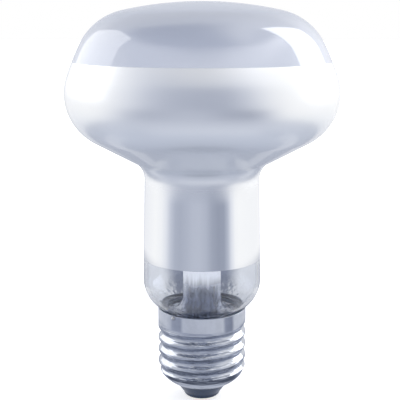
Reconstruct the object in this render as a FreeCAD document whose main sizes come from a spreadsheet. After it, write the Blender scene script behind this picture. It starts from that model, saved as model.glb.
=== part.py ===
import FreeCAD
import Part
import math
import os
import re
import Sketcher

# Reflector bulb with a screw cap: origin at the tip of the centre contact, +Z up along the axis,
# the frosted front at the top. Millimetres and degrees.

# Driving sizes
SIZES = {
    # Blown glass outline
    "lamp_height": 117.0,
    "crown_radius": 104.0,
    "shoulder_radius": 17.7,
    "flank_radius": 80.0,
    "flank_drop": 21.6,
    "belt_radius": 15.0,
    "head_radius": 39.05,
    "belt_drop": 25.7,
    "throat_radius": 5.65,
    "neck_top_radius": 16.65,
    "throat_drop": 50.1,
    "heel_radius": 9.9,
    "neck_foot_radius": 17.25,
    "heel_height": 36.8,
    "heel_tilt": 52.0,
    "glass_wall": 0.9,
    # Coatings on the inside of the glass
    "coating_depth": 0.12,
    "mirror_bottom": 43.4,
    "front_depth": 16.6,
    # Seal of the neck and the stem
    "seal_radius": 11.4,
    "seal_height": 26.3,
    "stem_radius": 5.6,
    "stem_wall": 0.9,
    "press_base": 44.0,
    "press_waist": 48.0,
    "press_top": 53.0,
    "press_width": 12.4,
    "press_depth": 4.2,
    "press_side_flat": 0.2,
    # Exhaust tube with its melted tip, and its duct in the press
    "exhaust_radius": 2.3,
    "exhaust_bore": 1.4,
    "exhaust_tip": 15.5,
    "exhaust_tip_wall": 1.6,
    "duct_radius": 1.1,
    "duct_rise": 4.6,
    # Glass rod with the button that carries the filament supports
    "rod_radius": 1.3,
    "button_rim_radius": 1.9,
    "button_depth": 3.6,
    # Filament, a coil bent into a half ring
    "filament_drop": 30.0,
    "filament_ring_radius": 9.0,
    "filament_coil_radius": 0.6,
    "support_wire_radius": 0.2,
    "support_foot_radius": 1.7,
    "support_rise": 1.2,
    "support_angle": 45.0,
    "hook_clearance": 0.05,
    "hook_sweep": 290.0,
    # Lead wires
    "lead_spacing": 7.4,
    "lead_radius": 0.4,
    "lead_seat": 2.0,
    "lead_rise": 4.0,
    "tail_radius": 0.3,
    "tail_bend": 1.6,
    "side_tail_bend": 0.6,
    "side_tail_angle": 231.0,
    "side_tail_gap": 0.5,
    "side_tail_clearance": 0.05,
    "centre_tail_bend_top": 13.0,
    "centre_tail_bend_foot": 8.6,
    "fuse_radius": 1.05,
    "fuse_bottom": 15.6,
    "fuse_length": 7.5,
    # Screw shell, rolled from sheet
    "shell_top": 28.2,
    "thread_major": 13.05,
    "thread_minor": 12.0,
    "thread_pitch": 3.629,
    "thread_turns": 4.0,
    "thread_top_root": 22.3,
    "thread_crest_flat": 0.12,
    "thread_fade_turns": 0.5,
    "thread_fade_clearance": 0.21,
    "sheet": 0.35,
    "collar_foot": 24.4,
    "taper_top": 10.1,
    "taper_foot": 7.9,
    "round_radius": 11.0,
    "round_height": 14.75,
    "round_inset": 8.5,
    "mouth_radius": 7.7,
    # Cement ring between the glass and the collar
    "cement_depth": 1.8,
    "cement_notch_clearance": 0.1,
    # Insulator of black glass, contact plate and solder
    "insulator_top": 7.2,
    "insulator_bottom": 0.5,
    "insulator_foot_radius": 5.4,
    "insulator_edge": 0.9,
    "insulator_bore": 1.8,
    "plate_radius": 4.3,
    "plate_depth": 0.45,
    "eyelet_radius": 1.0,
    "eyelet_wall": 0.35,
    "eyelet_rise": 1.2,
    "solder_radius": 2.3,
    "solder_flat_radius": 1.1,
    "side_solder_radius": 0.65,
    "side_solder_crown": 0.35,
    "side_solder_rise": 0.55,
    # How far the trimming cuts reach past what they trim
    "trim_margin": 1.0,
}

DOC = FreeCAD.newDocument("reflector_bulb")
SHEET = DOC.addObject("Spreadsheet::Sheet", "Sizes")
for row, (alias, size) in enumerate(SIZES.items(), start=1):
    SHEET.set(f"A{row}", alias)
    SHEET.set(f"B{row}", str(size))
    SHEET.setAlias(f"B{row}", alias)
DOC.recompute()

# Worked-out sizes, as formulas of the driving ones
FORMULAS = {
    "belt_height": "(lamp_height - belt_drop)",
    "throat_height": "(lamp_height - throat_drop)",
    "mirror_top": "(lamp_height - front_depth)",
    "filament_height": "(lamp_height - filament_drop)",
    "seal_inner": "(seal_radius - glass_wall)",
    "flare_top": "(seal_height + seal_inner - stem_radius)",
    "collar_inner": "(thread_major - sheet)",
    "bore": "(thread_minor - sheet)",
    "thread_depth": "(thread_major - thread_minor)",
    "thread_fade_depth": "(thread_depth + thread_fade_clearance)",
    "wave_radius": "((thread_pitch ^ 2 + 4 * thread_depth ^ 2) / (16 * thread_depth))",
    "wave_sine": "(thread_pitch / (4 * wave_radius))",
    "wave_cosine": "(1 - thread_depth / (2 * wave_radius))",
    "round_centre": "(thread_minor - round_inset)",
    "round_inner": "(round_radius - sheet)",
    "plate_top": "(insulator_bottom + plate_depth)",
    "press_side_radius": "(press_depth / 2 + press_side_flat)",
    "button_top": "((press_top + 2 * filament_height) / 3)",
    "button_foot": "(button_top - button_depth)",
    "seal_wire_top": "(press_top - lead_seat)",
    "side_tail_ring": "(collar_inner - side_tail_clearance - tail_radius)",
    "cement_foot": "(seal_height - stem_wall)",
    "side_tail_low": "((collar_foot + cement_foot) / 2)",
    "side_tail_reach_x": "(side_tail_ring * cos(side_tail_angle) + lead_spacing / 2)",
    "side_tail_reach_y": "(side_tail_ring * sin(side_tail_angle))",
    "side_tail_reach": "sqrt(side_tail_reach_x ^ 2 + side_tail_reach_y ^ 2)",
}
ANGLES = ("heel_tilt", "hook_sweep", "side_tail_angle", "support_angle")
WORD = re.compile(r"[a-z]+(?:_[a-z]+)+|\bsheet\b|\bbore\b")


def formula(text):
    """Write out a formula of size names as an expression on the sheet's cells."""

    def swap(match):
        name = match.group(0)
        if name in FORMULAS:
            return formula(FORMULAS[name])
        return f"(Sizes.{name} * 1 deg)" if name in ANGLES else f"Sizes.{name}"

    return WORD.sub(swap, str(text))


def value(text):
    """Return the number that a formula gives now."""
    number = SHEET.evalExpression(formula(text))
    return float(getattr(number, "Value", number))


def new_body(name):
    body = DOC.addObject("PartDesign::Body", name)
    body.Label = name
    return body


def new_sketch(body, name, plane="XZ_Plane", lift="0"):
    """Attach a sketch to one of the body's own origin planes, lifted along that plane's normal."""
    sketch = body.newObject("Sketcher::SketchObject", name)
    origin_plane = [f for f in body.Origin.OriginFeatures if f.Role == plane][0]
    sketch.AttachmentSupport = [(origin_plane, "")]
    sketch.MapMode = "FlatFace"
    if lift != "0":
        sketch.setExpression("AttachmentOffset.Base.z", formula(lift))
    return sketch


def dimension(sketch, kind, *target):
    """Add a dimension whose last entry is a formula, and bind it to the sheet."""
    text = target[-1]
    number = value(text)
    if kind == "Angle":
        number = math.radians(number)
    index = sketch.addConstraint(Sketcher.Constraint(kind, *target[:-1], number))
    expression = formula(text)
    if re.search("[a-z]", expression):
        sketch.setExpression(f"Constraints[{index}]", expression)
    return index


def pin_point(sketch, geometry, end, x_text, y_text):
    """Hold one end of an edge at a place given by two formulas."""
    if str(x_text) == "0":
        sketch.addConstraint(Sketcher.Constraint("PointOnObject", geometry, end, -2))
    else:
        dimension(sketch, "DistanceX", -1, 1, geometry, end, x_text)
    if str(y_text) == "0":
        sketch.addConstraint(Sketcher.Constraint("PointOnObject", geometry, end, -1))
    else:
        dimension(sketch, "DistanceY", -1, 1, geometry, end, y_text)


def arc_through(start, end, radius, side):
    """Return an arc's centre and the ways from it to both ends; side is +1 for a centre on the left."""
    chord = end - start
    half = chord.Length / 2
    rise = math.sqrt(radius ** 2 - half ** 2)
    left = FreeCAD.Vector(-chord.y, chord.x, 0).normalize()
    centre = (start + end) * 0.5 + left * rise * side
    return centre, (start - centre), (end - centre)


def closed_outline(sketch, corners):
    """Draw a closed outline. A corner is (x, y), or (x, y, radius, side) where an arc follows it."""
    places = [FreeCAD.Vector(value(c[0]), value(c[1]), 0) for c in corners]
    edges = []
    for index, corner in enumerate(corners):
        start = places[index]
        end = places[(index + 1) % len(places)]
        if len(corner) == 2:
            edges.append((sketch.addGeometry(Part.LineSegment(start, end), False), 1, 2))
            continue
        radius, side = value(corner[2]), corner[3]
        centre, from_centre, to_centre = arc_through(start, end, radius, side)
        circle = Part.Circle(centre, FreeCAD.Vector(0, 0, 1), radius)
        first = math.atan2(from_centre.y, from_centre.x)
        last = math.atan2(to_centre.y, to_centre.x)
        if side > 0:
            edges.append((sketch.addGeometry(Part.ArcOfCircle(circle, first, last), False), 1, 2))
        else:
            edges.append((sketch.addGeometry(Part.ArcOfCircle(circle, last, first), False), 2, 1))
    for index, corner in enumerate(corners):
        geometry, head, tail = edges[index]
        before, _, before_tail = edges[index - 1]
        sketch.addConstraint(Sketcher.Constraint("Coincident", before, before_tail, geometry, head))
        pin_point(sketch, geometry, head, corner[0], corner[1])
        if len(corner) == 4:
            dimension(sketch, "Radius", geometry, corner[2])
    return edges


def circle_at(sketch, x_text, y_text, radius_text):
    """Draw a circle at a place and of a radius given by formulas."""
    centre = FreeCAD.Vector(value(x_text), value(y_text), 0)
    circle = Part.Circle(centre, FreeCAD.Vector(0, 0, 1), value(radius_text))
    geometry = sketch.addGeometry(circle, False)
    pin_point(sketch, geometry, 3, x_text, y_text)
    dimension(sketch, "Radius", geometry, radius_text)


def turned(body, name, sketch, kind="PartDesign::Revolution", angle=360.0):
    """Turn a sketch about the lamp's axis, as a solid or, with a Groove, as a cut."""
    feature = body.newObject(kind, name)
    feature.Profile = sketch
    feature.ReferenceAxis = (sketch, ["V_Axis"])
    feature.Angle = angle
    return feature


def turned_outline(body, name, corners, kind="PartDesign::Revolution", angle=360.0):
    sketch = new_sketch(body, name + "_outline")
    closed_outline(sketch, corners)
    return turned(body, name, sketch, kind, angle)


def raised(body, name, sketch, length, kind="PartDesign::Pad", upward=True):
    """Pad or pocket a sketch by a length given by a formula."""
    feature = body.newObject(kind, name)
    feature.Profile = sketch
    feature.setExpression("Length", formula(length))
    feature.Reversed = not upward if kind == "PartDesign::Pad" else upward
    return feature


# Glass outline

def tangent_points(first_centre, first_radius, second_centre, second_radius):
    """Return where a line touches two circles, on the outward side; a negative radius is concave."""
    run = second_centre - first_centre
    lean = math.acos((first_radius - second_radius) / run.Length)
    heading = math.atan2(run.y, run.x)
    headings = (heading + lean, heading - lean)
    normals = [FreeCAD.Vector(math.cos(angle), math.sin(angle), 0) for angle in headings]
    normal = max(normals, key=lambda n: n.x)
    return first_centre + normal * first_radius, second_centre + normal * second_radius


def glass_chain(depth):
    """Work out the arcs and lines of the glass outline, at a depth below its outer face."""
    crown = FreeCAD.Vector(0, value("lamp_height - crown_radius"), 0)
    belt = FreeCAD.Vector(value("head_radius - belt_radius"), value("belt_height"), 0)
    throat = FreeCAD.Vector(value("neck_top_radius + throat_radius"), value("throat_height"), 0)
    heel = FreeCAD.Vector(value("neck_foot_radius - heel_radius"), value("heel_height"), 0)
    drop = value("flank_drop")
    reach = value("flank_radius - belt_radius")
    flank = belt - FreeCAD.Vector(math.sqrt(reach ** 2 - drop ** 2), drop, 0)
    to_crown = value("crown_radius - shoulder_radius")
    to_flank = value("flank_radius - shoulder_radius")
    span = flank - crown
    along = (to_crown ** 2 - to_flank ** 2 + span.Length ** 2) / (2 * span.Length)
    aside = math.sqrt(to_crown ** 2 - along ** 2)
    ahead = FreeCAD.Vector(span).normalize()
    across = FreeCAD.Vector(ahead.y, -ahead.x, 0)
    sides = [crown + ahead * along + across * aside * s for s in (1, -1)]
    shoulder = max(sides, key=lambda c: c.x)
    radii = {
        "crown": value("crown_radius") - depth,
        "shoulder": value("shoulder_radius") - depth,
        "flank": value("flank_radius") - depth,
        "belt": value("belt_radius") - depth,
        "throat": value("throat_radius") + depth,
        "heel": value("heel_radius") - depth,
    }
    crown_end = crown + (shoulder - crown).normalize() * radii["crown"]
    shoulder_end = flank + (shoulder - flank).normalize() * radii["flank"]
    flank_end = flank + (belt - flank).normalize() * radii["flank"]
    belt_end, throat_start = tangent_points(belt, radii["belt"], throat, -radii["throat"])
    throat_end, heel_start = tangent_points(throat, -radii["throat"], heel, radii["heel"])
    tilt = math.radians(value("heel_tilt"))
    heel_end = heel + FreeCAD.Vector(math.cos(tilt), -math.sin(tilt), 0) * radii["heel"]
    seal_x = value("seal_radius") - depth
    seal_start = heel_end - FreeCAD.Vector(math.sin(tilt), math.cos(tilt), 0) * (
        (heel_end.x - seal_x) / math.sin(tilt)
    )
    seal_end = FreeCAD.Vector(seal_x, value("seal_height"), 0)
    top = FreeCAD.Vector(0, value("lamp_height") - depth, 0)
    return [
        ("crown", crown, top, crown_end),
        ("shoulder", shoulder, crown_end, shoulder_end),
        ("flank", flank, shoulder_end, flank_end),
        ("belt", belt, flank_end, belt_end),
        ("cone", None, belt_end, throat_start),
        ("throat", throat, throat_start, throat_end),
        ("neck", None, throat_end, heel_start),
        ("heel", heel, heel_start, heel_end),
        ("taper", None, heel_end, seal_start),
        ("seal", None, seal_start, seal_end),
    ], radii


def draw_glass_chain(sketch, depth_text):
    """Draw the glass outline at a depth and tie it: tangent joints, bound radii and centres."""
    pieces, radii = glass_chain(value(depth_text))
    drawn = {}
    for name, centre, upper, lower in pieces:
        if centre is None:
            drawn[name] = (sketch.addGeometry(Part.LineSegment(upper, lower), False), 1, 2)
            continue
        circle = Part.Circle(centre, FreeCAD.Vector(0, 0, 1), radii[name])
        upper_angle = math.atan2(upper.y - centre.y, upper.x - centre.x)
        lower_angle = math.atan2(lower.y - centre.y, lower.x - centre.x)
        if name == "throat":
            arc = Part.ArcOfCircle(circle, upper_angle, lower_angle % (2 * math.pi))
            drawn[name] = (sketch.addGeometry(arc, False), 1, 2)
        else:
            arc = Part.ArcOfCircle(circle, lower_angle, upper_angle)
            drawn[name] = (sketch.addGeometry(arc, False), 2, 1)
    names = [piece[0] for piece in pieces]
    for upper_name, lower_name in zip(names, names[1:]):
        upper_geometry, _, upper_tail = drawn[upper_name]
        lower_geometry, lower_head, _ = drawn[lower_name]
        joint = "Coincident" if lower_name == "seal" else "Tangent"
        sketch.addConstraint(
            Sketcher.Constraint(joint, upper_geometry, upper_tail, lower_geometry, lower_head)
        )
    for name in radii:
        sign = "+" if name == "throat" else "-"
        dimension(sketch, "Radius", drawn[name][0], f"{name}_radius {sign} ({depth_text})")
    crown, crown_head, _ = drawn["crown"]
    sketch.addConstraint(Sketcher.Constraint("PointOnObject", crown, 3, -2))
    sketch.addConstraint(Sketcher.Constraint("PointOnObject", crown, crown_head, -2))
    dimension(sketch, "DistanceY", -1, 1, crown, crown_head, f"lamp_height - ({depth_text})")
    dimension(sketch, "DistanceY", drawn["flank"][0], 3, drawn["belt"][0], 3, "flank_drop")
    pin_point(sketch, drawn["belt"][0], 3, "head_radius - belt_radius", "belt_height")
    pin_point(sketch, drawn["throat"][0], 3, "neck_top_radius + throat_radius", "throat_height")
    pin_point(sketch, drawn["heel"][0], 3, "neck_foot_radius - heel_radius", "heel_height")
    taper, taper_head, taper_tail = drawn["taper"]
    seal, seal_head, seal_tail = drawn["seal"]
    heel, _, heel_tail = drawn["heel"]
    dimension(
        sketch, "DistanceY", heel, heel_tail, heel, 3,
        f"(heel_radius - ({depth_text})) * sin(heel_tilt)",
    )
    sketch.addConstraint(Sketcher.Constraint("Vertical", seal))
    pin_point(sketch, seal, seal_tail, f"seal_radius - ({depth_text})", "seal_height")
    return (crown, crown_head), (seal, seal_tail)


def glass_layer(body, outer_depth, inner_depth):
    """Turn the layer between two depths of the glass outline into a hollow solid."""
    sketch = new_sketch(body, body.Name + "_outline")
    outer_top, outer_foot = draw_glass_chain(sketch, outer_depth)
    inner_top, inner_foot = draw_glass_chain(sketch, inner_depth)
    for (first, first_end), (second, second_end) in ((outer_top, inner_top), (outer_foot, inner_foot)):
        start = sketch.getPoint(first, first_end)
        end = sketch.getPoint(second, second_end)
        bridge = sketch.addGeometry(Part.LineSegment(start, end), False)
        sketch.addConstraint(Sketcher.Constraint("Coincident", bridge, 1, first, first_end))
        sketch.addConstraint(Sketcher.Constraint("Coincident", bridge, 2, second, second_end))
    return turned(body, body.Name + "_turned", sketch)


def slab(low, high):
    """Corners of a block about the axis between two heights, wider than the head."""
    edge = "head_radius + trim_margin"
    return [("0", low), (edge, low), (edge, high), ("0", high)]


def glass_envelope():
    body = new_body("glass_envelope")
    glass_layer(body, "0", "glass_wall")
    return body


def coating(name, cuts):
    """Lay a coating on the inner face of the glass, and cut away what lies outside its zone."""
    body = new_body(name)
    glass_layer(body, "glass_wall", "glass_wall + coating_depth")
    for index, (low, high) in enumerate(cuts):
        DOC.recompute()
        turned_outline(body, f"{name}_edge_{index}", slab(low, high), "PartDesign::Groove")
    return body


# Stem, rod and exhaust tube

def stem_flare():
    """Tube with its mouth flared out to the seal, pressed flat at the top round the wires."""
    body = new_body("stem_flare")
    bend = "seal_inner - stem_radius"
    stem_bore = "stem_radius - stem_wall"
    turned_outline(body, "flared_tube", [
        (stem_bore, "press_base"),
        (stem_bore, "flare_top", f"{bend} + stem_wall", 1),
        ("seal_inner", "seal_height - stem_wall"),
        ("seal_radius", "seal_height - stem_wall"),
        ("seal_radius", "seal_height"),
        ("seal_inner", "seal_height", bend, -1),
        ("stem_radius", "flare_top"),
        ("stem_radius", "press_base"),
    ])
    round_end = new_sketch(body, "press_round", "XY_Plane", "press_base")
    circle_at(round_end, "0", "0", "stem_radius")
    flat_end = new_sketch(body, "press_flat", "XY_Plane", "press_waist")
    side_x = "press_width / 2 - press_depth / 2"
    side_y = "press_depth / 2"
    closed_outline(flat_end, [
        (f"-({side_x})", f"-({side_y})"),
        (side_x, f"-({side_y})", "press_side_radius", 1),
        (side_x, side_y),
        (f"-({side_x})", side_y, "press_side_radius", 1),
    ])
    loft = body.newObject("PartDesign::AdditiveLoft", "press_shoulder")
    loft.Profile = round_end
    loft.Sections = [flat_end]
    raised(body, "press_blade", flat_end, "press_top - press_waist")
    DOC.recompute()
    holes = new_sketch(body, "wire_holes", "XY_Plane", "press_top")
    for side in ("-", ""):
        circle_at(holes, f"{side}lead_spacing / 2", "0", "lead_radius")
    raised(body, "wire_hole_cut", holes, "press_top - press_base", "PartDesign::Pocket", False)
    DOC.recompute()
    duct = new_sketch(body, "duct", "XY_Plane", "press_base")
    circle_at(duct, "0", "0", "duct_radius")
    raised(body, "duct_cut", duct, "duct_rise", "PartDesign::Pocket", True)
    DOC.recompute()
    outlet = new_sketch(body, "duct_outlet")
    circle_at(outlet, "0", "press_base + duct_rise", "duct_radius")
    raised(body, "duct_outlet_cut", outlet, "stem_radius", "PartDesign::Pocket", True)
    return body


def exhaust_tube():
    """Narrow tube below the press, melted shut into a rounded tip."""
    body = new_body("exhaust_tube")
    turned_outline(body, "sealed_tube", [
        ("0", "exhaust_tip", "exhaust_radius", 1),
        ("exhaust_radius", "exhaust_tip + exhaust_radius"),
        ("exhaust_radius", "press_base"),
        ("exhaust_bore", "press_base"),
        ("exhaust_bore", "exhaust_tip + exhaust_tip_wall + exhaust_bore", "exhaust_bore", -1),
        ("0", "exhaust_tip + exhaust_tip_wall"),
    ])
    return body


def support_rod():
    """Glass rod on the press, with the flattened button that the support wires stand in."""
    body = new_body("support_rod")
    turned_outline(body, "rod_and_button", [
        ("0", "press_top"),
        ("rod_radius", "press_top"),
        ("rod_radius", "button_foot"),
        ("button_rim_radius", "button_foot", "button_depth", 1),
        ("button_rim_radius", "button_top"),
        ("0", "button_top"),
    ])
    return body


# Filament and wires

def wire_along(body, name, draw_path, foot_x, foot_z, radius):
    """Sweep a round wire along a path drawn in the XZ plane from a foot where it runs upright."""
    path = new_sketch(body, name + "_path")
    draw_path(path)
    section = new_sketch(body, name + "_section", "XY_Plane", foot_z)
    circle_at(section, foot_x, "0", radius)
    pipe = body.newObject("PartDesign::AdditivePipe", name)
    pipe.Profile = section
    pipe.Spine = path
    return pipe


def bent_path(points, bend):
    """Return a function that draws straight runs through the points, joined by tangent bends."""

    def draw(sketch):
        places = [FreeCAD.Vector(value(x), value(z), 0) for x, z in points]
        radius = value(bend)
        starts, ends = [places[0]], []
        corners = []
        for before, corner, after in zip(places, places[1:], places[2:]):
            back = (before - corner).normalize()
            ahead = (after - corner).normalize()
            half_angle = back.getAngle(ahead) / 2
            cut = radius / math.tan(half_angle)
            centre = corner + (back + ahead).normalize() * (radius / math.sin(half_angle))
            ends.append(corner + back * cut)
            starts.append(corner + ahead * cut)
            corners.append((centre, back.cross(ahead).z))
        ends.append(places[-1])
        runs = [sketch.addGeometry(Part.LineSegment(a, b), False) for a, b in zip(starts, ends)]
        for index, (centre, turn) in enumerate(corners):
            first = ends[index] - centre
            last = starts[index + 1] - centre
            first_angle = math.atan2(first.y, first.x)
            last_angle = math.atan2(last.y, last.x)
            circle = Part.Circle(centre, FreeCAD.Vector(0, 0, 1), radius)
            if turn < 0:
                arc, head, tail = Part.ArcOfCircle(circle, first_angle, last_angle), 1, 2
            else:
                arc, head, tail = Part.ArcOfCircle(circle, last_angle, first_angle), 2, 1
            bow = sketch.addGeometry(arc, False)
            sketch.addConstraint(Sketcher.Constraint("Tangent", runs[index], 2, bow, head))
            sketch.addConstraint(Sketcher.Constraint("Tangent", bow, tail, runs[index + 1], 1))
            dimension(sketch, "Radius", bow, bend)
            mark = sketch.addGeometry(Part.Point(places[index + 1]), True)
            sketch.addConstraint(Sketcher.Constraint("PointOnObject", mark, 1, runs[index]))
            sketch.addConstraint(Sketcher.Constraint("PointOnObject", mark, 1, runs[index + 1]))
            pin_point(sketch, mark, 1, *points[index + 1])
        pin_point(sketch, runs[0], 1, *points[0])
        pin_point(sketch, runs[-1], 2, *points[-1])

    return draw


def hooked_path(foot_x, foot_z, rise, wire_radius):
    """Return a function that draws an upright run, a leaning run and an eye round the filament."""

    def draw(sketch):
        eye_radius = f"filament_coil_radius + {wire_radius} + hook_clearance"
        eye = FreeCAD.Vector(value("filament_ring_radius"), value("filament_height"), 0)
        knee = FreeCAD.Vector(value(foot_x), value(f"{foot_z} + {rise}"), 0)
        foot = FreeCAD.Vector(value(foot_x), value(foot_z), 0)
        reach = eye - knee
        size = value(eye_radius)
        swing = math.acos(size / reach.Length)
        touch_angle = math.atan2(-reach.y, -reach.x) + swing
        touch = eye + FreeCAD.Vector(math.cos(touch_angle), math.sin(touch_angle), 0) * size
        upright = sketch.addGeometry(Part.LineSegment(foot, knee), False)
        leaning = sketch.addGeometry(Part.LineSegment(knee, touch), False)
        circle = Part.Circle(eye, FreeCAD.Vector(0, 0, 1), size)
        sweep = math.radians(value("hook_sweep"))
        loop = sketch.addGeometry(Part.ArcOfCircle(circle, touch_angle, touch_angle + sweep), False)
        sketch.addConstraint(Sketcher.Constraint("Vertical", upright))
        sketch.addConstraint(Sketcher.Constraint("Coincident", upright, 2, leaning, 1))
        pin_point(sketch, upright, 1, foot_x, foot_z)
        dimension(sketch, "DistanceY", upright, 1, upright, 2, rise)
        sketch.addConstraint(Sketcher.Constraint("Tangent", leaning, 2, loop, 1))
        dimension(sketch, "Radius", loop, eye_radius)
        pin_point(sketch, loop, 3, "filament_ring_radius", "filament_height")
        dimension(sketch, "Angle", loop, "hook_sweep")

    return draw


def turn_about_axis(body, angle):
    """Turn a body about the lamp's axis by an angle given by a formula."""
    body.Placement.Rotation = FreeCAD.Rotation(FreeCAD.Vector(0, 0, 1), 1)
    body.setExpression("Placement.Rotation.Angle", formula(angle))


def hooked_wire(name, foot_x, foot_z, rise, wire_radius, angle="0"):
    """Wire from the button or the press up to an eye round the filament."""
    body = new_body(name)
    pipe = wire_along(
        body, name + "_wire", hooked_path(foot_x, foot_z, rise, wire_radius), foot_x, foot_z, wire_radius
    )
    pipe.Transition = "Round corner"
    if angle != "0":
        turn_about_axis(body, angle)
    return body


def filament():
    """Coiled wire, as the round outline of its coil, bent into a half ring behind the axis."""
    body = new_body("filament")
    sketch = new_sketch(body, "coil_section")
    circle_at(sketch, "filament_ring_radius", "filament_height", "filament_coil_radius")
    turned(body, "coil", sketch, angle=180.0)
    return body


def seal_wire(name, side):
    body = new_body(name)
    sketch = new_sketch(body, name + "_section", "XY_Plane", "press_base")
    circle_at(sketch, f"{side}lead_spacing / 2", "0", "lead_radius")
    raised(body, name + "_wire", sketch, "seal_wire_top - press_base")
    return body


def centre_lead():
    """Wire from the press down to the centre contact."""
    body = new_body("centre_lead")
    points = [
        ("lead_spacing / 2", "press_base"),
        ("lead_spacing / 2", "centre_tail_bend_top"),
        ("0", "centre_tail_bend_foot"),
        ("0", "plate_top"),
    ]
    path = bent_path(points, "tail_bend")
    wire_along(body, "centre_wire", path, "lead_spacing / 2", "press_base", "tail_radius")
    return body


def side_lead():
    """Wire from the press, out under the flare and up between cement and collar to the rim."""
    body = new_body("side_lead")
    rim_end = "shell_top - side_tail_gap"
    points = [
        ("0", "press_base"),
        ("0", "side_tail_low"),
        ("side_tail_reach", "side_tail_low"),
        ("side_tail_reach", rim_end),
    ]
    wire_along(body, "side_wire", bent_path(points, "side_tail_bend"), "0", "press_base", "tail_radius")
    body.setExpression("Placement.Base.x", formula("-lead_spacing / 2"))
    turn_about_axis(body, "atan2(side_tail_reach_y; side_tail_reach_x)")
    return body


def fuse_sleeve():
    """Glass tube on the centre lead, round the thin stretch that melts first."""
    body = new_body("fuse_sleeve")
    sketch = new_sketch(body, "fuse_section", "XY_Plane", "fuse_bottom")
    circle_at(sketch, "lead_spacing / 2", "0", "fuse_radius")
    circle_at(sketch, "lead_spacing / 2", "0", "tail_radius")
    raised(body, "fuse_glass", sketch, "fuse_length")
    return body


# Cap

def round_z(radius, x):
    """Height of the shell's round foot at a distance from the axis."""
    return f"round_height - sqrt(({radius}) ^ 2 - ({x} - round_centre) ^ 2)"


def round_x(radius, z):
    """Distance from the axis of the shell's round foot at a height."""
    return f"round_centre + sqrt(({radius}) ^ 2 - (round_height - {z}) ^ 2)"


def wave_cut(body, name, centre_z, outside):
    """Draw one groove of the rolled thread: outside between crests, or inside behind a crest."""
    sketch = new_sketch(body, name)
    half = "(thread_pitch / 2 - thread_crest_flat / 2)"
    if outside:
        near, far, side = "wave_radius", "wave_radius", 1
        root_x = "(thread_major - wave_radius + sqrt(wave_radius ^ 2 - (thread_crest_flat / 2) ^ 2))"
        joint_x = "(thread_major - wave_radius * (1 - wave_cosine))"
        joint_z = "(wave_radius * wave_sine)"
        open_x = "(thread_major + sheet)"
    else:
        near, far, side = "(wave_radius + sheet)", "(wave_radius - sheet)", -1
        root_x = f"(thread_minor + wave_radius - sqrt({near} ^ 2 - (thread_crest_flat / 2) ^ 2))"
        joint_x = f"(thread_major - wave_radius + {far} * wave_cosine)"
        joint_z = f"({far} * wave_sine)"
        open_x = "(bore - sheet)"
    closed_outline(sketch, [
        (open_x, f"{centre_z} + {half}"),
        (root_x, f"{centre_z} + {half}", near, -side),
        (joint_x, f"{centre_z} + {joint_z}", far, side),
        (joint_x, f"{centre_z} - {joint_z}", near, -side),
        (root_x, f"{centre_z} - {half}"),
        (open_x, f"{centre_z} - {half}"),
    ])
    return sketch


def helix_cut(body, name, sketch, turns, downward, cone="0"):
    feature = body.newObject("PartDesign::SubtractiveHelix", name)
    feature.Profile = sketch
    feature.ReferenceAxis = (sketch, ["V_Axis"])
    feature.Mode = "pitch-turns-angle"
    feature.setExpression("Pitch", formula("thread_pitch"))
    feature.setExpression("Turns", formula(turns))
    if cone != "0":
        feature.setExpression("Angle", formula(cone))
    feature.LeftHanded = False
    feature.Reversed = downward
    return feature


def screw_shell():
    """Thin rolled shell: plain collar, round thread that fades at both ends, rounded foot."""
    body = new_body("screw_shell")
    taper_x = round_x("round_radius", "taper_foot")
    turned_outline(body, "shell_blank", [
        ("thread_major", "shell_top"),
        ("collar_inner", "shell_top"),
        ("collar_inner", "collar_foot"),
        ("bore", "collar_foot"),
        ("bore", round_z("round_inner", "bore"), "round_inner", -1),
        ("mouth_radius", round_z("round_inner", "mouth_radius")),
        ("mouth_radius", round_z("round_radius", "mouth_radius"), "round_radius", 1),
        (taper_x, "taper_foot"),
        ("thread_major", "taper_top"),
    ])
    DOC.recompute()
    groove = wave_cut(body, "outer_groove", "thread_top_root", True)
    helix_cut(body, "thread_outside", groove, "thread_turns", True)
    DOC.recompute()
    fade = "atan(thread_fade_depth / (thread_pitch * thread_fade_turns))"
    helix_cut(body, "thread_fade", groove, "thread_fade_turns", False, fade)
    DOC.recompute()
    hollow = wave_cut(body, "inner_groove", "(thread_top_root - thread_pitch / 2)", False)
    helix_cut(body, "thread_inside", hollow, "thread_turns - 1", True)
    return body


def cement_ring():
    """Ring of cement that holds the neck's seal in the collar, with a notch for the side wire."""
    body = new_body("cement_ring")
    cement_top = "(cement_foot + cement_depth)"
    turned_outline(body, "cement", [
        ("seal_radius", "cement_foot"),
        ("collar_inner", "cement_foot"),
        ("collar_inner", cement_top),
        ("seal_radius", cement_top),
    ])
    DOC.recompute()
    notch = new_sketch(body, "notch", "XY_Plane", "cement_foot")
    circle_at(
        notch, "side_tail_ring * cos(side_tail_angle)", "side_tail_ring * sin(side_tail_angle)",
        "tail_radius + cement_notch_clearance",
    )
    raised(body, "notch_cut", notch, "cement_depth", "PartDesign::Pocket", True)
    return body


def insulator():
    """Black glass poured into the shell's foot, standing out below it as a blunt cone."""
    body = new_body("insulator")
    turned_outline(body, "insulator_glass", [
        ("insulator_bore", "plate_top"),
        ("plate_radius", "plate_top"),
        ("plate_radius", "insulator_bottom"),
        ("insulator_foot_radius - insulator_edge", "insulator_bottom", "insulator_edge", 1),
        ("insulator_foot_radius", "insulator_bottom + insulator_edge"),
        ("mouth_radius", round_z("round_radius", "mouth_radius")),
        ("mouth_radius", round_z("round_inner", "mouth_radius"), "round_inner", 1),
        (round_x("round_inner", "insulator_top"), "insulator_top"),
        ("insulator_bore", "insulator_top"),
    ])
    return body


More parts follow.
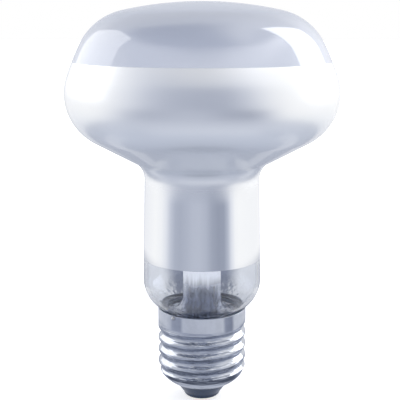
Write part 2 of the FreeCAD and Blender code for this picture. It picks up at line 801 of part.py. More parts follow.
def contact_plate():
    """Round contact let into the insulator, with an eyelet for the centre wire."""
    body = new_body("contact_plate")
    turned_outline(body, "plate", [
        ("eyelet_radius", "insulator_bottom"),
        ("plate_radius", "insulator_bottom"),
        ("plate_radius", "plate_top"),
        ("eyelet_radius + eyelet_wall", "plate_top"),
        ("eyelet_radius + eyelet_wall", "plate_top + eyelet_rise"),
        ("eyelet_radius", "plate_top + eyelet_rise"),
    ])
    return body


def centre_solder():
    """Drop of solder that closes the eyelet and makes the tip."""
    body = new_body("centre_solder")
    turned_outline(body, "solder_drop", [
        ("0", "0"),
        ("solder_flat_radius", "0"),
        ("solder_radius", "insulator_bottom"),
        ("eyelet_radius", "insulator_bottom"),
        ("eyelet_radius", "plate_top"),
        ("0", "plate_top"),
    ])
    return body


def side_solder():
    """Nugget of solder on the outside of the collar, where the side wire is joined to it."""
    body = new_body("side_solder")
    turned_outline(body, "nugget", [
        ("0", "0"),
        ("side_solder_radius", "0"),
        ("side_solder_radius", "side_solder_rise / 3"),
        ("side_solder_crown", "side_solder_rise"),
        ("0", "side_solder_rise"),
    ])
    body.Placement.Rotation = FreeCAD.Rotation(FreeCAD.Vector(0, 0, 1), FreeCAD.Vector(1, 0, 0))
    around = FreeCAD.Rotation(FreeCAD.Vector(0, 0, 1), value("side_tail_angle"))
    body.Placement.Rotation = around.multiply(body.Placement.Rotation)
    body.setExpression("Placement.Base.x", formula("thread_major * cos(side_tail_angle)"))
    body.setExpression("Placement.Base.y", formula("thread_major * sin(side_tail_angle)"))
    body.setExpression("Placement.Base.z", formula("shell_top - side_solder_radius"))
    return body


envelope = glass_envelope()
below, above = "-trim_margin", "lamp_height + trim_margin"
mirror = coating("mirror_coating", [(below, "mirror_bottom"), ("mirror_top", above)])
frost = coating("frost_coating", [(below, "mirror_top")])
supports = [
    hooked_wire(f"filament_support_{index + 1}", "support_foot_radius", "button_top", "support_rise",
                "support_wire_radius", f"{index + 1} * support_angle")
    for index in range(3)
]
leads = [
    hooked_wire(f"lead_wire_{side}", "lead_spacing / 2", "seal_wire_top", "lead_seat + lead_rise",
                "lead_radius", angle)
    for side, angle in (("right", "0"), ("left", "180 * 1 deg"))
]
NODES = [
    envelope, mirror, frost, stem_flare(), exhaust_tube(), support_rod(), filament(),
    *supports, *leads, seal_wire("seal_wire_right", ""), seal_wire("seal_wire_left", "-"),
    centre_lead(), side_lead(), fuse_sleeve(), screw_shell(), cement_ring(), insulator(),
    contact_plate(), centre_solder(), side_solder(),
]
DOC.recompute()

# Check every object before anything is written
faults = []
for made in DOC.Objects:
    if {"Invalid", "Error"} & set(made.State):
        faults.append(f"{made.Label}: {', '.join(made.State)}")
for node in NODES:
    if node.Shape.isNull() or not node.Shape.isValid() or not node.Shape.Solids:
        faults.append(node.Label + ": no valid solid")
if faults:
    raise RuntimeError("faults in the model: " + "; ".join(faults))

os.makedirs("parts", exist_ok=True)
for node in NODES:
    node.Shape.exportStep(f"parts/{node.Label}.step")
    box = node.Shape.BoundBox
    print(f"{node.Label:22s} solids {len(node.Shape.Solids)}  volume {node.Shape.Volume:9.2f} mm3"
          f"  z {box.ZMin:7.2f} to {box.ZMax:7.2f}  r {max(box.XMax, -box.XMin):6.2f}")
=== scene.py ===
"""Dress the reflector bulb: blown glass, mirror and frost, the rolled screw cap, and the studio."""
import logging
import math
from dataclasses import dataclass
from enum import Enum
from typing import ClassVar, Mapping, Sequence, Union

import bmesh
import bpy
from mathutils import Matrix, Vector


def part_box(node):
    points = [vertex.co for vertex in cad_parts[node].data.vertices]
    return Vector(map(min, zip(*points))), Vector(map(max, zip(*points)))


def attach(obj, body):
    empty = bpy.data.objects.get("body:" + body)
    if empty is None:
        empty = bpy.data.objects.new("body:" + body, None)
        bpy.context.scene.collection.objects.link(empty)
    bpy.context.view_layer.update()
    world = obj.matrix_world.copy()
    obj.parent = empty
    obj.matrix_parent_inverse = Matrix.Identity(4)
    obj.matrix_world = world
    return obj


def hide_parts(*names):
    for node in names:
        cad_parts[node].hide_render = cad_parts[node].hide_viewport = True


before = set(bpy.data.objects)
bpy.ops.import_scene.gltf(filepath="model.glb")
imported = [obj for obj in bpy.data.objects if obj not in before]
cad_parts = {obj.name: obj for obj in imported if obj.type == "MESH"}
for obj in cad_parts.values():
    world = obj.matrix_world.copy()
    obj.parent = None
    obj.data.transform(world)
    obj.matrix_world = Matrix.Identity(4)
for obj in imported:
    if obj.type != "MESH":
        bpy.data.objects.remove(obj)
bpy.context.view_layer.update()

LOG = logging.getLogger("reflector_bulb")
MM = 0.001
WELD = 0.001
TOLERANCE = 1e-4

Colour = tuple[float, float, float, float]
Axes = tuple[float, float, float]
Span = tuple[float, float]
Inputs = Mapping[Union[str, int], object]
Mesh = bmesh.types.BMesh
Piece = bpy.types.Object

GREY_RED_LOSS = 0.13
GREY_BLUE_GAIN = 0.37


def grey(level: float) -> Colour:
    """Return the neutral grey of a linear brightness."""
    return (level, level, level, 1.0)


def cool_grey(level: float) -> Colour:
    """Return the slightly blue grey of a linear brightness; black, white and above stay neutral."""
    middle = max(0.0, level * (1.0 - level))
    return (level - GREY_RED_LOSS * middle, level, level + GREY_BLUE_GAIN * middle, 1.0)


def smooth(share: float) -> float:
    """Return a share from 0 to 1 with a soft start and end."""
    return share * share * (3.0 - 2.0 * share)


# Shader trees


class Wire:
    """One output of a shader tree, with the arithmetic operators."""

    def __init__(self, tree: "ShaderTree", socket: bpy.types.NodeSocket) -> None:
        """Hold an output socket of a tree."""
        self.tree = tree
        self.socket = socket

    def _maths(self, operation: str, *values: "Value") -> "Wire":
        """Return the output of a new Math node."""
        return self.tree.node("ShaderNodeMath", {"operation": operation}, dict(enumerate(values)))

    def __add__(self, other: "Value") -> "Wire":
        """Return self + other."""
        return self._maths("ADD", self, other)

    __radd__ = __add__

    def __sub__(self, other: "Value") -> "Wire":
        """Return self - other."""
        return self._maths("SUBTRACT", self, other)

    def __rsub__(self, other: "Value") -> "Wire":
        """Return other - self."""
        return self._maths("SUBTRACT", other, self)

    def __mul__(self, other: "Value") -> "Wire":
        """Return self * other."""
        return self._maths("MULTIPLY", self, other)

    __rmul__ = __mul__

    def __truediv__(self, other: "Value") -> "Wire":
        """Return self / other."""
        return self._maths("DIVIDE", self, other)

    def __rtruediv__(self, other: "Value") -> "Wire":
        """Return other / self."""
        return self._maths("DIVIDE", other, self)

    def __neg__(self) -> "Wire":
        """Return self with its sign changed."""
        return self * -1.0

    def __abs__(self) -> "Wire":
        """Return self without its sign."""
        return self._maths("ABSOLUTE", self)


Value = Union[Wire, float]


class ShaderTree:
    """Builder of a node tree, emptied first."""

    def __init__(self, owner: Union[bpy.types.Material, bpy.types.World]) -> None:
        """Empty the tree of a material or a world and hold it."""
        owner.use_nodes = True
        self.nodes = owner.node_tree
        self.nodes.nodes.clear()

    def add(self, kind: str, settings: Mapping[str, object], inputs: Inputs) -> bpy.types.Node:
        """Add a node.

        Args:
            kind: The node's type.
            settings: Its properties, set first; "stops" gives a ramp's (position, colour) pairs.
            inputs: The value or the wire of each named or numbered input.

        Returns:
            The node.
        """
        made = self.nodes.nodes.new(kind)
        for name, setting in settings.items():
            if name == "stops":
                self._set_stops(made.color_ramp, setting)
            else:
                setattr(made, name, setting)
        for key, given in inputs.items():
            if isinstance(given, Wire):
                self.nodes.links.new(given.socket, made.inputs[key])
            else:
                made.inputs[key].default_value = given
        return made

    def node(
        self, kind: str, settings: Mapping[str, object] = {}, inputs: Inputs = {}, output: Union[str, int] = 0
    ) -> Wire:
        """Add a node and return its named or numbered output."""
        return Wire(self, self.add(kind, settings, inputs).outputs[output])

    @staticmethod
    def _set_stops(ramp: bpy.types.ColorRamp, stops: Sequence[tuple[float, Colour]]) -> None:
        """Give a ramp its stops."""
        while len(ramp.elements) < len(stops):
            ramp.elements.new(1.0)
        for element, (position, colour) in zip(ramp.elements, stops):
            element.position = position
            element.color = colour

    def mix_colour(self, share: Value, first: object, second: object) -> Wire:
        """Return a blend of two colours, from the first at 0 to the second at 1."""
        settings = {"data_type": "RGBA", "clamp_factor": True}
        return self.node("ShaderNodeMix", settings, {0: share, 6: first, 7: second}, 2)

    def ease(self, value: Value, start: float, end: float, low: float = 0.0, high: float = 1.0) -> Wire:
        """Return low before start, high after end, and a smooth change between."""
        inputs = {"Value": value, 1: start, 2: end, 3: low, 4: high}
        return self.node("ShaderNodeMapRange", {"interpolation_type": "SMOOTHSTEP"}, inputs)

    def object_place(self, stretch: Axes = (1.0, 1.0, 1.0)) -> Wire:
        """Return Object coordinates in millimetres, each axis then multiplied by stretch."""
        place = self.node("ShaderNodeTexCoord", output="Object")
        scale = tuple(axis / MM for axis in stretch)
        return self.node("ShaderNodeVectorMath", {"operation": "MULTIPLY"}, {0: place, 1: scale})

    def along(self, axis: str) -> Wire:
        """Return the distance along an axis from the lamp's tip, in millimetres."""
        return self.node("ShaderNodeSeparateXYZ", {}, {0: self.object_place()}, axis)

    def noise(self, scale: float, detail: float = 2.0, stretch: Axes = (1.0, 1.0, 1.0)) -> Wire:
        """Return noise from 0 to 1, with scale waves to the millimetre and detail finer layers."""
        inputs = {"Vector": self.object_place(stretch), "Scale": scale, "Detail": detail}
        return self.node("ShaderNodeTexNoise", {}, inputs)

    def bump(self, height: Wire, depth: float, normal: Union[Wire, None] = None) -> Wire:
        """Return a normal, or the one given, bent by a height whose 1 stands for depth millimetres."""
        inputs = {"Height": height, "Distance": depth * MM, "Strength": 1.0}
        if normal is not None:
            inputs["Normal"] = normal
        return self.node("ShaderNodeBump", {}, inputs)


# Finishes


@dataclass(frozen=True)
class Finish:
    """A surface finish. Constants go on the Principled shader's own sockets."""

    name: str
    colour: Colour
    roughness: float
    constants: ClassVar[Inputs] = {}

    def shade(self, factor: float) -> Colour:
        """Return the finish's colour, darker or paler by a factor."""
        return tuple(factor * part for part in self.colour[:3]) + (1.0,)

    def dress(self, tree: ShaderTree) -> Inputs:
        """Return what varies over the surface: wires for Base Color, Roughness and Normal."""
        raise NotImplementedError

    def veil(self, tree: ShaderTree, shader: Wire) -> Wire:
        """Return the shader with whatever lies over it; a plain finish has nothing."""
        return shader

    def body(self, tree: ShaderTree) -> Inputs:
        """Return the shader of the volume; an opaque finish has none."""
        return {}

    def material(self) -> bpy.types.Material:
        """Return the finish as a material, made once."""
        name = f"{self.name}_finish"
        found = bpy.data.materials.get(name)
        if found is not None:
            return found
        made = bpy.data.materials.new(name)
        tree = ShaderTree(made)
        shader = tree.node("ShaderNodeBsdfPrincipled", {}, {**self.constants, **self.dress(tree)})
        outputs = {"Surface": self.veil(tree, shader), **self.body(tree)}
        tree.add("ShaderNodeOutputMaterial", {}, outputs)
        return made


@dataclass(frozen=True)
class ClearGlass(Finish):
    """Blown or drawn clear glass with faint waves, ruffled and painted darker as shade where it was melted.
    """

    wave_depth: float = 0.004
    wave_scale: float = 0.12
    ruffle_depth: float = 0.0
    ruffle_scale: float = 0.33
    ruffle_top: float = 35.0
    ruffle_fade: float = 6.0
    tint: float = 0.95
    painted_seal_shade: float = 0.80
    core_colour: Colour = (0.50, 0.53, 0.60, 1.0)
    density: float = 165.0
    constants = {"Transmission Weight": 1.0, "IOR": 1.5, "Metallic": 0.0}

    def body(self, tree: ShaderTree) -> Inputs:
        """Return the faint grey of the glass itself, which darkens it where it is seen edge on."""
        inputs = {"Color": self.core_colour, "Density": self.density}
        return {"Volume": tree.node("ShaderNodeVolumeAbsorption", {}, inputs)}

    def dress(self, tree: ShaderTree) -> Inputs:
        """Return a faint tint, the waves that blowing leaves and the ruffles of the melted seal."""
        waves = tree.noise(self.wave_scale, 2.0, (1.0, 1.0, 0.5))
        melted = tree.ease(tree.along("Z"), self.ruffle_top, self.ruffle_top - self.ruffle_fade)
        ruffles = melted * tree.noise(self.ruffle_scale, 2.0, (1.0, 1.0, 1.6))
        clear = tree.mix_colour(waves, self.shade(self.tint), self.colour)
        return {
            # Painted shade: the glass darkens towards the seal, where the dark cap lies behind it.
            "Base Color": tree.mix_colour(melted, clear, self.shade(self.painted_seal_shade)),
            "Roughness": self.roughness * (0.5 + waves),
            "Normal": tree.bump(waves, self.wave_depth, tree.bump(ruffles, self.ruffle_depth)),
        }


@dataclass(frozen=True)
class StemGlass(ClearGlass):
    """Drawn tube with painted light over it: a milky glow streaks down, shade on its foot, glints beside."""

    # A milky veil and a painted glow of the light that falls down the neck onto the stem's top.
    bloom_and_painted_glow: float = 0.96
    painted_glow_span: Span = (33.5, 39.5)
    streak_length: float = 4.0
    # Painted shade: the veil over the stem's foot, which takes the shaded colour.
    painted_shade: float = 0.36
    painted_shade_span: Span = (36.0, 30.5)
    painted_shade_breaks: Span = (0.38, 0.60)
    painted_shade_least: float = 0.4
    # Painted glints: pale crescents on the flare, away from the middle, where light would catch its curve.
    painted_glints: float = 0.9
    painted_glint_span: Span = (33.5, 30.0)
    painted_glint_side: Span = (4.0, 6.5)
    painted_glint_breaks: Span = (0.42, 0.62)
    # Painted light: the veil is coloured lit at the top and shaded below.
    lit_span: Span = (32.0, 37.0)
    lit_colour: Colour = (0.92, 0.93, 0.96, 1.0)
    shaded_colour: Colour = (0.44, 0.51, 0.72, 1.0)
    veil_roughness: float = 0.6

    def veil(self, tree: ShaderTree, shader: Wire) -> Wire:
        """Return the glass under painted light: milky glow above, shade at the foot, glints on the flare."""
        height = tree.along("Z")
        streaks = tree.noise(0.9, 2.0, (1.0, 1.0, 0.06))
        ragged = height + self.streak_length * (streaks - 0.5)
        # Milky veil and painted glow at the top, ragged along the streaks.
        bloom_and_painted_glow = self.bloom_and_painted_glow * tree.ease(ragged, *self.painted_glow_span)
        # Painted shade on the stem's foot, broken up by the streaks.
        uneven = tree.ease(streaks, *self.painted_shade_breaks, self.painted_shade_least)
        painted_shade = self.painted_shade * tree.ease(height, *self.painted_shade_span) * uneven
        # Painted glints on the flare.
        broken = tree.ease(tree.noise(0.45, 3.0), *self.painted_glint_breaks)
        beside = tree.ease(abs(tree.along("X")), *self.painted_glint_side)
        painted_glints = beside * broken * tree.ease(height, *self.painted_glint_span)
        # Painted lit and shaded colours of the veil by height, pale where the glints are.
        lit = tree.ease(height, *self.lit_span) + painted_glints
        colour = tree.mix_colour(lit, self.shaded_colour, self.lit_colour)
        inputs = {"Base Color": colour, "Roughness": self.veil_roughness}
        white = tree.node("ShaderNodeBsdfPrincipled", {}, inputs)
        share = bloom_and_painted_glow + self.painted_glints * painted_glints + painted_shade
        return tree.node("ShaderNodeMixShader", {}, {0: share, 1: shader, 2: white})


@dataclass(frozen=True)
class MirroredGlass(Finish):
    """Glass with the vapour mirror behind it: silver, satin on the head and clearer on the neck."""

    neck_roughness: float = 0.05
    under_roughness: float = 0.50
    under_colour: Colour = (0.91, 0.945, 1.0, 1.0)
    duller: float = 0.965
    neck_top: float = 60.0
    under_foot: float = 66.0
    head_foot: float = 72.0
    belt_foot: float = 82.0
    belt: float = 90.0
    constants = {"Metallic": 1.0, "Coat Weight": 1.0, "Coat Roughness": 0.02, "Coat IOR": 1.5}

    def dress(self, tree: ShaderTree) -> Inputs:
        """Return silver with faint clouds, and a gloss that changes with the height."""
        cloud = tree.noise(0.09, 3.0)
        streak = tree.noise(0.25, 3.0, (1.0, 1.0, 0.05))
        height = tree.along("Z")
        satin = tree.ease(height, self.neck_top, self.head_foot, self.neck_roughness, self.under_roughness)
        satin -= tree.ease(height, self.belt_foot, self.belt, 0.0, self.under_roughness - self.roughness)
        under = tree.ease(height, self.under_foot, self.head_foot)
        under *= tree.ease(height, self.belt, self.belt_foot)
        silver = tree.mix_colour(0.6 * cloud + 0.4 * streak, self.shade(self.duller), self.colour)
        return {
            "Base Color": tree.mix_colour(under, silver, self.under_colour),
            "Roughness": satin * (0.92 + 0.16 * streak),
        }


@dataclass(frozen=True)
class FrostedGlass(Finish):
    """The front: white frost inside, seen through smooth clear glass."""

    thinner: float = 0.93
    constants = {"Metallic": 0.0, "Coat Weight": 1.0, "Coat Roughness": 0.012, "Coat IOR": 2.2}

    def dress(self, tree: ShaderTree) -> Inputs:
        """Return the frost's body with the faint flow marks of its coating."""
        cloud = tree.noise(0.06, 3.0)
        layer = 0.75 * cloud + 0.25 * tree.noise(2.5, 2.0)
        return {
            "Base Color": tree.mix_colour(layer, self.shade(self.thinner), self.colour),
            "Roughness": self.roughness * (0.9 + 0.2 * cloud),
        }


@dataclass(frozen=True)
class Metal(Finish):
    """Bare metal."""

    constants = {"Metallic": 1.0}


@dataclass(frozen=True)
class RolledMetal(Metal):
    """Thin sheet metal, rolled and polished, with fine marks along the turning."""

    mark_depth: float = 0.004
    roll_depth: float = 0.26
    roll_span: Span = (24.0, 22.5)
    bloom_breaks: Span = (0.35, 0.75)
    dull: float = 0.92

    def dress(self, tree: ShaderTree) -> Inputs:
        """Return the metal with drawing marks, light scuffs, a darker bloom and an uneven thread."""
        marks = tree.noise(0.5, 4.0, (1.0, 1.0, 6.0))
        scuffs = tree.noise(1.3, 3.0)
        bloom_and_painted_glow = tree.ease(tree.noise(0.35, 3.0), *self.bloom_breaks)
        rolled = tree.noise(0.5, 2.0, (0.3, 0.3, 3.4)) * tree.ease(tree.along("Z"), *self.roll_span)
        skin = tree.bump(marks, self.mark_depth, tree.bump(scuffs, self.mark_depth))
        return {
            "Base Color": tree.mix_colour(bloom_and_painted_glow, self.colour, self.shade(self.dull)),
            "Roughness": self.roughness * (0.6 + 0.5 * marks + 0.3 * scuffs),
            "Normal": tree.bump(rolled, self.roll_depth, skin),
        }


@dataclass(frozen=True)
class DrawnWire(Metal):
    """Metal wire with the fine lines of the die along it."""

    line_depth: float = 0.01
    dull: float = 0.6

    def dress(self, tree: ShaderTree) -> Inputs:
        """Return the wire with lines and a patchy skin."""
        lines = tree.noise(3.0, 3.0, (1.0, 1.0, 0.15))
        skin = tree.noise(0.8)
        return {
            "Base Color": tree.mix_colour(skin, self.shade(self.dull), self.colour),
            "Roughness": self.roughness * (0.7 + 0.6 * skin),
            "Normal": tree.bump(lines, self.line_depth),
        }


@dataclass(frozen=True)
class CementFinish(Finish):
    """Baked cement, sandy and slightly uneven."""

    grain_depth: float = 0.12
    dark: float = 0.55

    def dress(self, tree: ShaderTree) -> Inputs:
        """Return grains of two tones with a rough face."""
        grains = tree.noise(4.0, 4.0)
        tone = 0.6 * grains + 0.4 * tree.noise(0.5)
        return {
            "Base Color": tree.mix_colour(tone, self.shade(self.dark), self.colour),
            "Roughness": self.roughness * (0.8 + 0.2 * grains),
            "Normal": tree.bump(grains, self.grain_depth),
        }


@dataclass(frozen=True)
class BlackGlass(Finish):
    """Poured black glass with a fire-polished skin."""

    ring_depth: float = 0.02
    paler: float = 1.5
    constants = {"Metallic": 0.0, "IOR": 1.5, "Coat Weight": 0.1, "Coat Roughness": 0.05}

    def dress(self, tree: ShaderTree) -> Inputs:
        """Return faint flow rings and a skin that varies a little."""
        rings = tree.noise(0.7, 2.0, (0.4, 0.4, 3.0))
        return {
            "Base Color": tree.mix_colour(rings, self.colour, self.shade(self.paler)),
            "Roughness": self.roughness * (0.7 + 0.6 * rings),
            "Normal": tree.bump(rings, self.ring_depth),
        }


@dataclass(frozen=True)
class Solder(Metal):
    """Soft solder, frozen in uneven waves."""

    wave_depth: float = 0.08
    dark: float = 0.55

    def dress(self, tree: ShaderTree) -> Inputs:
        """Return grey crystals and bright spots."""
        crystals = tree.noise(1.6, 4.0)
        return {
            "Base Color": tree.mix_colour(crystals, self.shade(self.dark), self.colour),
            "Roughness": self.roughness * (0.6 + 0.8 * crystals),
            "Normal": tree.bump(crystals, self.wave_depth),
        }


GLASS_COLOUR: Colour = (0.90, 0.92, 0.96, 1.0)
CLEAR_GLASS = ClearGlass("clear_glass", GLASS_COLOUR, 0.0, ruffle_depth=0.30, ruffle_top=34.0)
ROD_GLASS = ClearGlass("rod_glass", GLASS_COLOUR, 0.02, wave_depth=0.02, wave_scale=0.3)
STEM_GLASS = StemGlass(
    "stem_glass", GLASS_COLOUR, 0.02, wave_depth=0.02, wave_scale=0.3, ruffle_depth=0.7, ruffle_top=33.0
)
MIRROR = MirroredGlass("mirror_layer", (0.93, 0.945, 0.97, 1.0), 0.31)
FROST = FrostedGlass("frosted_layer", (0.56, 0.605, 0.725, 1.0), 0.42)
CAP_METAL = RolledMetal("cap_metal", (0.565, 0.595, 0.665, 1.0), 0.055)
# The shell's inside: duller metal, and painted darker as the shade of the cavity.
CAP_INSIDE_PAINTED_SHADE = RolledMetal("cap_inside_painted_shade", (0.36, 0.39, 0.50, 1.0), 0.55)
CEMENT = CementFinish("cement", (0.58, 0.66, 0.84, 1.0), 0.9)
BLACK_GLASS = BlackGlass("black_glass", (0.003, 0.013, 0.040, 1.0), 0.12)
CONTACT_METAL = RolledMetal("contact_metal", (0.78, 0.68, 0.47, 1.0), 0.28)
SOLDER = Solder("solder", (0.74, 0.75, 0.78, 1.0), 0.32)
TUNGSTEN = DrawnWire("tungsten", (0.46, 0.46, 0.48, 1.0), 0.45)
MOLYBDENUM = DrawnWire("molybdenum", (0.58, 0.57, 0.56, 1.0), 0.35)
NICKEL_WIRE = DrawnWire("nickel_wire", (0.66, 0.64, 0.60, 1.0), 0.3)
COPPER_WIRE = DrawnWire("copper_wire", (0.72, 0.67, 0.63, 1.0), 0.3)


# Mesh tools


def clockwise(first: Vector, last: Vector) -> float:
    """Return the clockwise angle in radians from one direction to another, between -pi and pi."""
    turned = math.atan2(first.y, first.x) - math.atan2(last.y, last.x)
    return (turned + math.pi) % math.tau - math.pi


class Lathe:
    """Draws half a section in the XZ plane, in millimetres, and turns it about the Z axis."""

    def __init__(self, x: float, z: float) -> None:
        """Start the section at a point."""
        self.mesh = bmesh.new()
        self.first = self.mesh.verts.new((x, 0.0, z))
        self.tip = self.first

    def line(self, x: float, z: float, parts: int = 1) -> "Lathe":
        """Draw a straight run to a point, in equal parts."""
        start = self.tip.co.copy()
        for step in range(1, parts + 1):
            self.tip = bmesh.ops.extrude_vert_indiv(self.mesh, verts=[self.tip])["verts"][0]
            self.tip.co = start.lerp(Vector((x, 0.0, z)), step / parts)
        return self

    def arc(self, centre_x: float, centre_z: float, angle: float, steps: int) -> "Lathe":
        """Draw an arc about a centre; a positive angle in radians is clockwise."""
        made = bmesh.ops.spin(
            self.mesh, geom=[self.tip], cent=(centre_x, 0.0, centre_z), axis=(0.0, 1.0, 0.0),
            angle=angle, steps=steps, use_duplicate=False,
        )
        self.tip = [item for item in made["geom_last"] if isinstance(item, bmesh.types.BMVert)][0]
        return self

    def arc_to(self, centre: Vector, end: Vector, steps: int) -> "Lathe":
        """Draw the shorter arc about a centre to an end, both given as x and z."""
        turned = clockwise(self.tip.co.xz - centre, end - centre)
        return self.arc(centre.x, centre.y, turned, steps)

    def close(self) -> "Lathe":
        """Join the section's end to its start."""
        self.mesh.edges.new((self.tip, self.first))
        return self

    def turn(self, steps: int) -> Mesh:
        """Turn the section a full circle in steps, and return the merged mesh, faces outward."""
        bmesh.ops.spin(
            self.mesh, geom=self.mesh.verts[:] + self.mesh.edges[:], cent=(0.0, 0.0, 0.0),
            axis=(0.0, 0.0, 1.0), angle=math.tau, steps=steps, use_merge=True, use_duplicate=False,
        )
        bmesh.ops.remove_doubles(self.mesh, verts=self.mesh.verts, dist=WELD)
        bmesh.ops.recalc_face_normals(self.mesh, faces=self.mesh.faces)
        return self.mesh


def trim(mesh: Mesh, height: float, keep_above: bool) -> None:
    """Cut a closed wall at a height, keep one side and close the ring that the cut leaves."""
    cut = bmesh.ops.bisect_plane(
        mesh, geom=mesh.verts[:] + mesh.edges[:] + mesh.faces[:], dist=TOLERANCE,
        plane_co=(0.0, 0.0, height), plane_no=(0.0, 0.0, 1.0),
        clear_inner=keep_above, clear_outer=not keep_above,
    )
    rims = [item for item in cut["geom_cut"] if isinstance(item, bmesh.types.BMEdge)]
    bmesh.ops.bridge_loops(mesh, edges=[edge for edge in rims if edge.is_boundary])


def make_piece(
    mesh: Mesh, name: str, finish: Finish, stands_for: Sequence[str],
    crease: float = 35.0, second: Union[Finish, None] = None,
) -> Piece:
    """Make a mesh drawn in millimetres into a finished piece of the lamp.

    Args:
        mesh: The mesh, which is freed.
        name: The piece's name.
        finish: Its finish.
        stands_for: The CAD nodes that it replaces.
        crease: Edges sharper than this many degrees stay sharp.
        second: Finish of the faces whose material index is 1.

    Returns:
        The object.
    """
    bmesh.ops.recalc_face_normals(mesh, faces=mesh.faces)
    bmesh.ops.scale(mesh, vec=(MM, MM, MM), verts=mesh.verts)
    data = bpy.data.meshes.new(name)
    mesh.to_mesh(data)
    mesh.free()
    data.shade_smooth()
    data.set_sharp_from_angle(angle=math.radians(crease))
    data.materials.append(finish.material())
    if second is not None:
        data.materials.append(second.material())
    piece = bpy.data.objects.new(name, data)
    bpy.context.scene.collection.objects.link(piece)
    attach(piece, "root")
    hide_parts(*stands_for)
    return piece


def dress_nodes(finish: Finish, *names: str) -> None:
    """Give carried-over CAD nodes their finish."""
    for name in names:
        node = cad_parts[name]
        if not node.material_slots:
            node.data.materials.append(None)
        for place in node.material_slots:
            place.link = "OBJECT"
            place.material = finish.material()
        LOG.info("%s keeps its CAD shape and gets %s", name, finish.name)


# The blown glass


@dataclass(frozen=True)
class Run:
    """One stretch of the glass outline, from its upper to its lower end; a line has no centre."""

    upper: Vector
    lower: Vector
    centre: Union[Vector, None] = None
    facet: ClassVar[float] = 1.1
    least_steps: ClassVar[int] = 3
    steps_to_radian: ClassVar[float] = 19.0

    def draw(self, pen: Lathe, downward: bool) -> None:
        """Draw the run with a lathe pen that stands at one of its ends."""
        start, end = (self.upper, self.lower) if downward else (self.lower, self.upper)
        if self.centre is None:
            pen.line(end.x, end.y)
            return
        angle = abs(clockwise(start - self.centre, end - self.centre))
        density = max((start - self.centre).length / self.facet, self.steps_to_radian)
        pen.arc_to(self.centre, end, max(self.least_steps, math.ceil(angle * density)))


@dataclass(frozen=True)
class GlassOutline:
    """The outline of the blown glass: tangent arcs from the crown down to the seal, in millimetres."""

    height: float = 117.0
    crown: float = 104.0
    shoulder: float = 17.7
    flank: float = 80.0
    flank_drop: float = 21.6
    belt: float = 15.0
    head_radius: float = 39.05
    belt_height: float = 91.3
    throat: float = 5.65
    neck_top_radius: float = 16.65
    throat_height: float = 66.9
    heel: float = 9.9
    neck_foot_radius: float = 17.25
    heel_height: float = 36.8
    heel_tilt: float = 52.0
    seal_radius: float = 11.4
    seal_height: float = 26.3

    @staticmethod
    def _touching(first: Vector, first_radius: float, second: Vector, second_radius: float) -> list[Vector]:
        """Return where a line outside two circles touches them; a negative radius is concave."""
        run = second - first
        lean = math.acos((first_radius - second_radius) / run.length)
        heading = math.atan2(run.y, run.x)
        normals = [Vector((math.cos(a), math.sin(a))) for a in (heading + lean, heading - lean)]
        normal = max(normals, key=lambda n: n.x)
        return [first + normal * first_radius, second + normal * second_radius]

    def runs(self, depth: float) -> list[Run]:
        """Return the runs from the crown to the seal, at a depth below the outer face."""
        crown = Vector((0.0, self.height - self.crown))
        belt = Vector((self.head_radius - self.belt, self.belt_height))
        throat = Vector((self.neck_top_radius + self.throat, self.throat_height))
        heel = Vector((self.neck_foot_radius - self.heel, self.heel_height))
        reach = self.flank - self.belt
        flank = belt - Vector((math.sqrt(reach**2 - self.flank_drop**2), self.flank_drop))
        to_crown, to_flank = self.crown - self.shoulder, self.flank - self.shoulder
        span = flank - crown
        along = (to_crown**2 - to_flank**2 + span.length**2) / (2 * span.length)
        aside = math.sqrt(to_crown**2 - along**2)
        ahead = span.normalized()
        across = Vector((ahead.y, -ahead.x))
        shoulder = max((crown + ahead * along + across * aside * s for s in (1, -1)), key=lambda c: c.x)
        crown_end = crown + (shoulder - crown).normalized() * (self.crown - depth)
        shoulder_end = flank + (shoulder - flank).normalized() * (self.flank - depth)
        flank_end = flank + (belt - flank).normalized() * (self.flank - depth)
        belt_end, throat_start = self._touching(belt, self.belt - depth, throat, -self.throat - depth)
        throat_end, heel_start = self._touching(throat, -self.throat - depth, heel, self.heel - depth)
        tilt = math.radians(self.heel_tilt)
        heel_end = heel + Vector((math.cos(tilt), -math.sin(tilt))) * (self.heel - depth)
        seal_x = self.seal_radius - depth
        slide = (heel_end.x - seal_x) / math.sin(tilt)
        seal_start = heel_end - Vector((math.sin(tilt), math.cos(tilt))) * slide
        top = Vector((0.0, self.height - depth))
        foot = Vector((seal_x, self.seal_height))
        ends = [
            top, crown_end, shoulder_end, flank_end, belt_end, throat_start, throat_end,
            heel_start, heel_end, seal_start, foot,
        ]
        centres = [crown, shoulder, flank, belt, None, throat, None, heel, None, None]
        return [Run(*run) for run in zip(ends, ends[1:], centres)]


